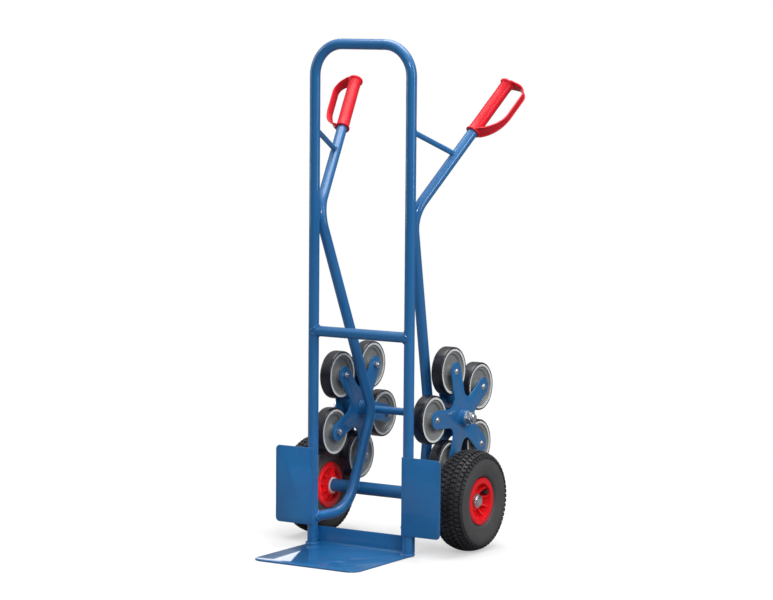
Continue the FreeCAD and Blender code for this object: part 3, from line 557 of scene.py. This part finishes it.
def close_mesh():
    """Leaves edit mode with every face pointing outwards."""
    bpy.ops.mesh.select_all(action="SELECT")
    bpy.ops.mesh.normals_make_consistent(inside=False)
    bpy.ops.object.mode_set(mode="OBJECT")


def turned_ring(name, outline, steps=64):
    """A solid turned about X from a closed outline of (along, out) points."""
    bpy.ops.object.select_all(action="DESELECT")
    bpy.ops.mesh.primitive_circle_add(vertices=len(outline))
    piece = bpy.context.object
    piece.name = name
    for vertex, (along, out) in zip(piece.data.vertices, outline):
        vertex.co = (along, 0, out)
    edit_all()
    bpy.ops.mesh.spin(steps=steps, angle=2 * math.pi, center=(0, 0, 0), axis=(1, 0, 0))
    bpy.ops.mesh.select_all(action="SELECT")
    bpy.ops.mesh.remove_doubles(threshold=1e-6)
    bpy.ops.mesh.delete_loose()
    close_mesh()
    # the map that Finish.from_axle reads, in place of the circle's own
    piece.data.uv_layers.remove(piece.data.uv_layers.active)
    layer = piece.data.uv_layers.new(name="turned")
    for corner, spot in zip(piece.data.loops, layer.data):
        point = piece.data.vertices[corner.vertex_index].co
        spot.uv = (math.hypot(point.y, point.z) * 10, point.x * 10)
    return piece


def face_outward(piece, mirror):
    """Turns a left-hand piece half round, so that its outer end faces away from the middle."""
    if mirror < 0:
        piece.data.transform(Matrix.Rotation(math.pi, 4, "Z"))


ZINC = zinc_plate()
for node in ("wheel_axle", "left_wheel_bearings", "right_wheel_bearings",
             "left_star_spacers", "right_star_spacers"):
    paint_node(node, ZINC)
paint_node("star_axle", PAINT)
star_side = joint_place["right_star_spin"]
washer_finish = part_painted_zinc(star_side.x, star_side.z - BELOW_STAR_AXLE)
softened("axle_washers", "axle_washer_set", "frame", washer_finish, width=0.0004)
softened("star_nuts", "star_nut_pair", "frame", ZINC, width=0.0008)
softened("axle_caps", "axle_cap_pair", "frame", ZINC, width=0.0006)
for side in SIDES:
    star = f"{side}_star"
    softened(f"{star}_bolts", f"{star}_bolt_set", star, ZINC, width=0.0014, segments=4)
    softened(f"{star}_bolt_nuts", f"{star}_nut_set", star, ZINC, width=0.0006)

# the bare threaded ends of the star axle, each with its chamfer and end face
thread_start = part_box("star_nuts")[1].x
thread_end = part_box("star_axle")[1].x
thread_root = STAR_AXLE + 0.0001
thread_crest = STAR_AXLE + 0.0009
ridges = [(thread_start, thread_root)]
while ridges[-1][0] + THREAD_PITCH < thread_end - 0.001:
    along = ridges[-1][0]
    ridges.append((along + THREAD_PITCH / 2, thread_crest))
    ridges.append((along + THREAD_PITCH, thread_root))
ridges += [
    (thread_end - 0.0008, STAR_AXLE + 0.0002), (thread_end + 0.0003, STAR_AXLE - 0.0012),
    (thread_end + 0.0003, 0.0), (thread_end + 0.0001, 0.0), (thread_end + 0.0001, 0.0080),
    (thread_start, STAR_AXLE + 0.00004),
]
for side, mirror in SIDES.items():
    thread = turned_ring(f"{side}_star_axle_thread", ridges)
    face_outward(thread, mirror)
    hub = joint_place[f"{side}_star_spin"]
    fit(thread, "frame", ZINC, (0, hub.y, hub.z))


# ---- axle sleeves --------------------------------------------------------------------------------
# Moulded white nylon sleeves, pushed into the ends of the axle tube as plain bearings for the axle.
# Their flanges keep the wheel hubs off the tube.

CREAM_NYLON = (0.82, 0.82, 0.80)
WHITE_NYLON = (0.88, 0.88, 0.87)


def white_nylon():
    finish = Finish("white_nylon")
    cloud = finish.cloud(50.0)
    return finish.principled({
        "Base Color": finish.between(cloud, CREAM_NYLON, WHITE_NYLON),
        "Roughness": 0.36 + cloud * 0.1,
        "Normal": finish.bump(finish.noise(900.0), 0.00002),
    })


softened("axle_sleeves", "axle_sleeve_pair", "frame", white_nylon(), width=0.0005)


# ---- small wheels --------------------------------------------------------------------------------
# Ten moulded grey plastic wheels with a dark rubber tread, free on spacer tubes between the star
# plates. Each disc is a darker grey as painted shade in its recess, and the ring beside the tread a
# paler grey that is partly a painted highlight. One is made and copied to each arm. The bushes in
# the star hubs get the tread's dark finish.

DEEP_RUBBER = (0.009, 0.010, 0.016)
PALE_RUBBER = (0.015, 0.016, 0.024)
# the disc's greys are darkened as painted shade in the recess; the ring's grey is partly a painted
# highlight
RECESS_SHADE_DEEP_GREY = (0.215, 0.225, 0.225)
RECESS_SHADE_PALE_GREY = (0.265, 0.275, 0.272)
RING_HIGHLIGHT_GREY = (0.72, 0.74, 0.74)
RING_START = 0.0515
RING_FULL = 0.0530
SMALL_TREAD = 0.0046
ARMS = 5


def dark_rubber():
    finish = Finish("dark_grey_rubber")
    cloud = finish.cloud(30.0, 3.0)
    return finish.principled({
        "Base Color": finish.between(cloud, DEEP_RUBBER, PALE_RUBBER),
        "Roughness": 0.22 + cloud * 0.12,
        "Normal": finish.bump(finish.noise(1400.0), 0.00001),
    })


def grey_plastic():
    """Mid grey darkened as painted shade in the recessed disc, with a pale ring beside the tread that
    is partly a painted highlight.
    """
    finish = Finish("grey_plastic_painted_light")
    cloud = finish.cloud(45.0)
    # painted light: the ring beside the tread is paler as a highlight, the disc inside it darker as
    # shade
    ring = finish.spread(finish.from_axle(), RING_START * 10, RING_FULL * 10)
    shaded_disc = finish.between(cloud, RECESS_SHADE_DEEP_GREY, RECESS_SHADE_PALE_GREY)
    return finish.principled({
        "Base Color": finish.between(ring, shaded_disc, RING_HIGHLIGHT_GREY),
        "Roughness": 0.36 + cloud * 0.1,
        "Normal": finish.bump(finish.noise(800.0), 0.00001),
    })


def both_halves(half, middle=()):
    """A section of (along, out) points from its right half, read round the outside."""
    return [*half, *middle, *((-along, out) for along, out in reversed(half))]


DARK_RUBBER = dark_rubber()
GREY_PLASTIC_PAINTED_LIGHT = grey_plastic()
tread_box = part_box("right_star_wheel_1_tread")
small_radius = (tread_box[1].z - tread_box[0].z) / 2
small_half = (tread_box[1].x - tread_box[0].x) / 2
rim_radius = small_radius - SMALL_TREAD

half_tread = (
    (small_half - 0.0006, rim_radius + 0.0001), (small_half, rim_radius + 0.0008),
    (small_half, small_radius - 0.0032), (small_half - 0.0004, small_radius - 0.0021),
    (small_half - 0.0014, small_radius - 0.0010), (small_half - 0.0030, small_radius - 0.0003),
    (small_half - 0.0060, small_radius),
)
# bore, hub, web, two steps and the seat of the tread
half_rim = (
    (0.0190, 0.0081), (0.0190, 0.0125), (0.0178, 0.0150), (0.0050, 0.0165), (0.0036, 0.0180),
    (0.0030, 0.0220), (0.0030, 0.0400), (0.0040, 0.0424), (0.0085, 0.0440), (0.0098, 0.0452),
    (0.0100, 0.0488), (0.0106, 0.0502), (0.0136, 0.0512), (0.0148, 0.0520), (0.0150, 0.0530),
    (0.0150, rim_radius - 0.0002),
)
tread_model = turned_ring("small_tread", both_halves(half_tread, [(0, small_radius)]), 96)
rim_model = turned_ring("small_rim", both_halves(half_rim), 96)

for side in SIDES:
    paint_node(f"{side}_star_bushes", DARK_RUBBER)
    for number in range(1, ARMS + 1):
        label = f"{side}_star_wheel_{number}"
        place = joint_place[f"{label}_spin"]
        for model, part, slot, material in (
            (tread_model, "tread", "small_wheel_rubber", DARK_RUBBER),
            (rim_model, "rim", "grey_plastic", GREY_PLASTIC_PAINTED_LIGHT),
        ):
            piece = bpy.data.objects.new(f"{label}_moulded_{part}", model.data.copy())
            bpy.context.scene.collection.objects.link(piece)
            fit(piece, label, material, place)
            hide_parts(f"{label}_{part}")
for model in (tread_model, rim_model):
    bpy.data.objects.remove(model)


# ---- tyres ---------------------------------------------------------------------------------------
# Black pneumatic tyres: a smooth carcass with bead ridges on the sidewall, and rubber blocks in
# five staggered rows with a row of lugs over each shoulder. The sidewall is a paler grey than the
# blocks, a painted sheen on the rubber.

DEEP_TREAD = (0.020, 0.020, 0.023)
PALE_TREAD = (0.030, 0.030, 0.034)
# the sidewall's paler grey is a painted sheen
WALL_SHEEN_DEEP = (0.060, 0.060, 0.062)
WALL_SHEEN_PALE = (0.076, 0.075, 0.077)
BLOCKS_ROUND = 58
BLOCK_DEPTH = 0.0050
BLOCK_ROWS = (-0.0300, -0.0152, 0.0, 0.0152, 0.0300)
BLOCK_POINT = 0.0034
CROWN = 0.0765
SHOULDER_ALONG = 0.0405
SHOULDER_OUT = 0.1155
SHOULDER_LEAN = math.radians(60)


def tyre_rubber():
    finish = Finish("black_tyre_rubber_painted_sheen")
    cloud = finish.cloud(22.0, 4.0)
    turned = finish.from_axle()
    # painted sheen: the sidewall, between the bead and the shoulder, gets the paler grey
    side = finish.spread(turned, 0.50, 0.55) * finish.spread(turned, 1.16, 1.06)
    tread = finish.between(cloud, DEEP_TREAD, PALE_TREAD)
    wall_sheen = finish.between(cloud, WALL_SHEEN_DEEP, WALL_SHEEN_PALE)
    return finish.principled({
        "Base Color": finish.between(side, tread, wall_sheen),
        "Roughness": 0.42 + cloud * 0.16,
        "Specular IOR Level": 0.35,
        "Normal": finish.bump(finish.noise(1100.0, 3.0), 0.00003),
    })


def tread_block(half_width, half_length, point, height, along, out, lean):
    """One chevron block, standing on the tyre at (along, out) from the axle and leaning sideways."""
    bpy.ops.object.select_all(action="DESELECT")
    bpy.ops.mesh.primitive_circle_add(vertices=6, fill_type="NGON")
    block = bpy.context.object
    corners = (
        (-half_width, -half_length + point), (0, -half_length), (half_width, -half_length + point),
        (half_width, half_length + point), (0, half_length), (-half_width, half_length + point),
    )
    for vertex, (across_block, round_block) in zip(block.data.vertices, corners):
        vertex.co = (across_block, round_block - point / 2, -height)
    edit_all()
    bpy.ops.mesh.extrude_region_move(TRANSFORM_OT_translate={"value": (0, 0, height)})
    bpy.ops.transform.resize(value=(0.86, 0.86, 1))
    close_mesh()
    block.data.transform(Matrix.Translation((along, 0, out)) @ Matrix.Rotation(lean, 4, "Y"))
    return block


def ring_of(block, first_turn):
    """Copies a block all round the axle, starting at first_turn."""
    block.data.transform(Matrix.Rotation(first_turn, 4, "X"))
    bpy.ops.object.empty_add(location=(0, 0, 0), rotation=(2 * math.pi / BLOCKS_ROUND, 0, 0))
    step = bpy.context.object
    array = block.modifiers.new("round_the_tyre", "ARRAY")
    array.count = BLOCKS_ROUND
    array.use_relative_offset = False
    array.use_object_offset = True
    array.offset_object = step
    apply_modifiers(block)
    bpy.data.objects.remove(step)
    return block


def crown_drop(along):
    """How far the rounded tread lies below its middle."""
    return CROWN - math.sqrt(CROWN ** 2 - along ** 2)


def build_tyre(side):
    carcass_top = tyre_radius - BLOCK_DEPTH
    # bead ridge, sidewall and shoulder, then the crown
    half = [
        (0.0292, 0.0605), (0.0322, 0.0628), (0.0352, 0.0662), (0.0368, 0.0668), (0.0378, 0.0688),
        (0.0388, 0.0722), (0.0404, 0.0780), (0.0418, 0.0850), (0.0425, 0.0915), (0.0422, 0.0975),
        (0.0414, 0.1030), (0.0402, 0.1075), (0.0384, 0.1118), (0.0358, 0.1152), (0.0330, 0.1176),
    ]
    half += [(along, carcass_top - crown_drop(along)) for along in (0.028, 0.022, 0.016, 0.010, 0.005)]
    inside = [
        (0.0, carcass_top - 0.008), (0.020, carcass_top - 0.011), (0.0320, 0.107), (0.0350, 0.092),
        (0.0300, 0.072),
    ]
    outline = both_halves(half, [(0, carcass_top)])
    outline += [(-along, out) for along, out in reversed(inside)] + inside[1:]
    tyre = turned_ring(f"{side}_block_tyre", outline, 120)
    half_pitch = math.pi / BLOCKS_ROUND
    rows = []
    for number, along in enumerate(BLOCK_ROWS):
        out = tyre_radius - crown_drop(along)
        block = tread_block(
            half_width=0.0060, half_length=0.0050, point=BLOCK_POINT * (-1) ** number,
            height=0.0080, along=along, out=out, lean=math.asin(along / CROWN),
        )
        rows.append(ring_of(block, half_pitch * (number % 2)))
    for mirror in (-1, 1):
        lug = tread_block(
            half_width=0.0054, half_length=0.0046, point=0.0, height=0.0060,
            along=mirror * SHOULDER_ALONG, out=SHOULDER_OUT, lean=mirror * SHOULDER_LEAN,
        )
        rows.append(ring_of(lug, half_pitch))
    for row in rows:
        break_edges(row, width=0.0006, segments=1)
    choose(tyre)
    for row in rows:
        row.select_set(True)
    bpy.ops.object.join()
    fit(tyre, f"{side}_wheel", TYRE_RUBBER, joint_place[f"{side}_wheel_spin"])
    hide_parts(f"{side}_tyre")


TYRE_RUBBER = tyre_rubber()
tyre_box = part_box("right_tyre")
tyre_radius = (tyre_box[1].z - tyre_box[0].z) / 2
for side in SIDES:
    build_tyre(side)


# ---- rims, inner tubes and valves ----------------------------------------------------------------
# One-piece moulded red plastic rims with ten ribs between hub and barrel. The black valve stem comes
# through the barrel and turns out towards the hand that holds the pump, with a screwed cap on it.

DEEP_RIM_RED = (0.78, 0.009, 0.015)
PALE_RIM_RED = (0.86, 0.012, 0.019)
RIM_INSIDE = 0.046
CAP_PAST_STEM = 0.0012


def red_plastic(name, deep, pale):
    finish = Finish(name)
    cloud = finish.cloud(35.0)
    return finish.principled({
        "Base Color": finish.between(cloud, deep, pale),
        "Roughness": 0.30 + cloud * 0.08,
        "Specular IOR Level": 0.25,
        "Normal": finish.bump(finish.noise(1200.0), 0.00001),
    })


RIM_RED = red_plastic("red_rim_plastic", DEEP_RIM_RED, PALE_RIM_RED)
cap_outline = (
    (-0.0120, 0.0), (0.0006, 0.0), (0.0010, 0.0028), (0.0002, 0.0052), (-0.0010, 0.0058),
    (-0.0098, 0.0060), (-0.0110, 0.0056), (-0.0120, 0.0052),
)
for side in SIDES:
    name = f"{side}_moulded_rim"
    softened(f"{side}_rim", name, f"{side}_wheel", RIM_RED, width=0.0009)
    paint_node(f"{side}_inner_tube", TYRE_RUBBER)
for side, mirror in SIDES.items():
    # the cap, on the end of the valve stem
    hub = joint_place[f"{side}_wheel_spin"]
    stem = [
        vertex.co for vertex in frame["nodes"][f"{side}_inner_tube"].data.vertices
        if math.hypot(vertex.co.y - hub.y, vertex.co.z - hub.z) < RIM_INSIDE
    ]
    tip = max(mirror * point.x for point in stem)
    ends = [point for point in stem if mirror * point.x > tip - 1e-4]
    centre = sum(ends, Vector()) / len(ends)
    cap = turned_ring(f"{side}_valve_cap", cap_outline, 24)
    face_outward(cap, mirror)
    place = centre + ACROSS * (mirror * CAP_PAST_STEM)
    fit(cap, f"{side}_wheel", TYRE_RUBBER, place)


# ---- grips with knuckle guards -------------------------------------------------------------------
# Injection-moulded red plastic: a sleeve pressed on the handle, with a lip at each end and a
# channel-shaped guard that runs from lip to lip round the knuckles and flares at both ends.

DEEP_GRIP_RED = (0.64, 0.010, 0.022)
PALE_GRIP_RED = (0.71, 0.014, 0.028)
GRIP_LENGTH = 0.180
GRIP_PAST_END = 0.0063
GUARD_TOP = GRIP_LENGTH - 0.0023
GUARD_REACH = 0.0592
GUARD_CORNER = 0.0268
GUARD_BOW = 0.088
GUARD_BOW_START = 0.089
GUARD_ROOT = 0.012
GUARD_LEAN = math.radians(12)
CORNER_STEPS = 12
BOW_STEPS = 18
FOOT_FLARE = 0.78
FOOT_FLARE_LENGTH = 0.062
LIP_FLARE = 0.70
LIP_FLARE_LENGTH = 0.042
LIP_FLARE_POINTS = 8
FLARE_CURVE = 1.1
ACROSS_BAND = Vector((0, 1, 0))

sleeve_outline = (
    (0.0050, 0.0138), (0.0050, 0.0186), (0.0056, 0.0194), (0.0068, 0.0198), (0.0084, 0.0196),
    (0.0098, 0.0187), (0.0112, 0.0174), (0.0135, 0.0167), (0.0400, 0.0163), (0.0900, 0.0165),
    (0.1400, 0.0163), (0.1690, 0.0166), (0.1712, 0.0174), (0.1728, 0.0190), (0.1742, 0.0200),
    (0.1764, 0.0204), (0.1782, 0.0201), (0.1795, 0.0190), (0.1800, 0.0170), (0.1800, 0.0),
    (0.1745, 0.0), (0.1745, 0.0138),
)
# half of the guard's section, (across the band, out from the hand): a channel open outwards
channel = (
    (0.0, -0.0022), (0.0092, -0.0022), (0.0104, -0.0016), (0.0110, -0.0004), (0.0110, 0.0022),
    (0.0104, 0.0028), (0.0092, 0.0028), (0.0084, 0.0020), (0.0080, 0.0008), (0.0, 0.0006),
)
section = list(channel) + [(-along, out) for along, out in reversed(channel[1:-1])]


def guard_line():
    """The guard's centre line as (out from the handle, along it), from the top lip down."""
    points = [(GUARD_ROOT, GUARD_TOP)]
    for step in range(CORNER_STEPS + 1):
        turn = math.pi / 2 * (1 - step / CORNER_STEPS)
        out = GUARD_REACH - GUARD_CORNER * (1 - math.cos(turn))
        points.append((out, GUARD_TOP - GUARD_CORNER * (1 - math.sin(turn))))
    sweep = math.acos((GUARD_BOW - (GUARD_REACH - GUARD_ROOT)) / GUARD_BOW)
    for step in range(BOW_STEPS + 1):
        turn = sweep * step / BOW_STEPS
        out = GUARD_REACH - GUARD_BOW * (1 - math.cos(turn))
        points.append((out, GUARD_BOW_START - GUARD_BOW * math.sin(turn)))
    return points


def guard_rings():
    """The section at each point of the guard's line, widened towards both ends."""
    line = guard_line()
    rings = []
    for number, (out, along) in enumerate(line):
        before = line[max(number - 1, 0)]
        after = line[min(number + 1, len(line) - 1)]
        heading = Vector((after[0] - before[0], 0, after[1] - before[1])).normalized()
        outward = heading.cross(ACROSS_BAND)
        near_foot = max(0.0, 1 - (along - line[-1][1]) / FOOT_FLARE_LENGTH)
        near_lip = max(0.0, 1 - (out - GUARD_ROOT) / LIP_FLARE_LENGTH)
        if number >= LIP_FLARE_POINTS:
            near_lip = 0.0
        widen = 1 + FOOT_FLARE * near_foot ** FLARE_CURVE + LIP_FLARE * near_lip ** FLARE_CURVE
        rings.append([
            Vector((out, band * widen, along)) + outward * rise for band, rise in section
        ])
    return rings


def build_guard():
    """The guard with the handle along Z and the knuckles towards X, extruded ring by ring."""
    rings = guard_rings()
    bpy.ops.object.select_all(action="DESELECT")
    bpy.ops.mesh.primitive_circle_add(vertices=len(section), fill_type="NOTHING")
    guard = bpy.context.object
    edit_all()
    for _ in rings[1:]:
        bpy.ops.mesh.extrude_edges_move(TRANSFORM_OT_translate={"value": (0, 0, -0.001)})
    bpy.ops.object.mode_set(mode="OBJECT")
    spots = [spot for ring in rings for spot in ring]
    for vertex, spot in zip(guard.data.vertices, spots):
        vertex.co = spot
    edit_all()
    bpy.ops.mesh.fill_holes(sides=0)
    close_mesh()
    return guard


def square_to(direction, along):
    """The part of a direction that stands square to the handle."""
    return (direction - along * direction.dot(along)).normalized()


GRIP_RED = red_plastic("red_grip_plastic", DEEP_GRIP_RED, PALE_GRIP_RED)
for side, mirror in SIDES.items():
    grip = turned_ring(f"{side}_guarded_grip", sleeve_outline, 48)
    grip.data.transform(Matrix.Rotation(-math.pi / 2, 4, "Y"))
    guard = build_guard()
    choose(grip)
    guard.select_set(True)
    bpy.ops.object.join()
    along = mirrored(HANDLE_ALONG, mirror)
    outward = square_to(ACROSS * mirror, along)
    rear_below = square_to(REARWARD - UP, along)
    to_guard = square_to(outward * math.cos(GUARD_LEAN) + rear_below * math.sin(GUARD_LEAN), along)
    turn = Matrix((to_guard, along.cross(to_guard), along)).transposed().to_4x4()
    start = mirrored(HANDLE_END, mirror) + along * (GRIP_PAST_END - GRIP_LENGTH)
    grip.data.transform(Matrix.Translation(start) @ turn)
    fit(grip, "frame", GRIP_RED)
    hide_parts(f"{side}_grip")
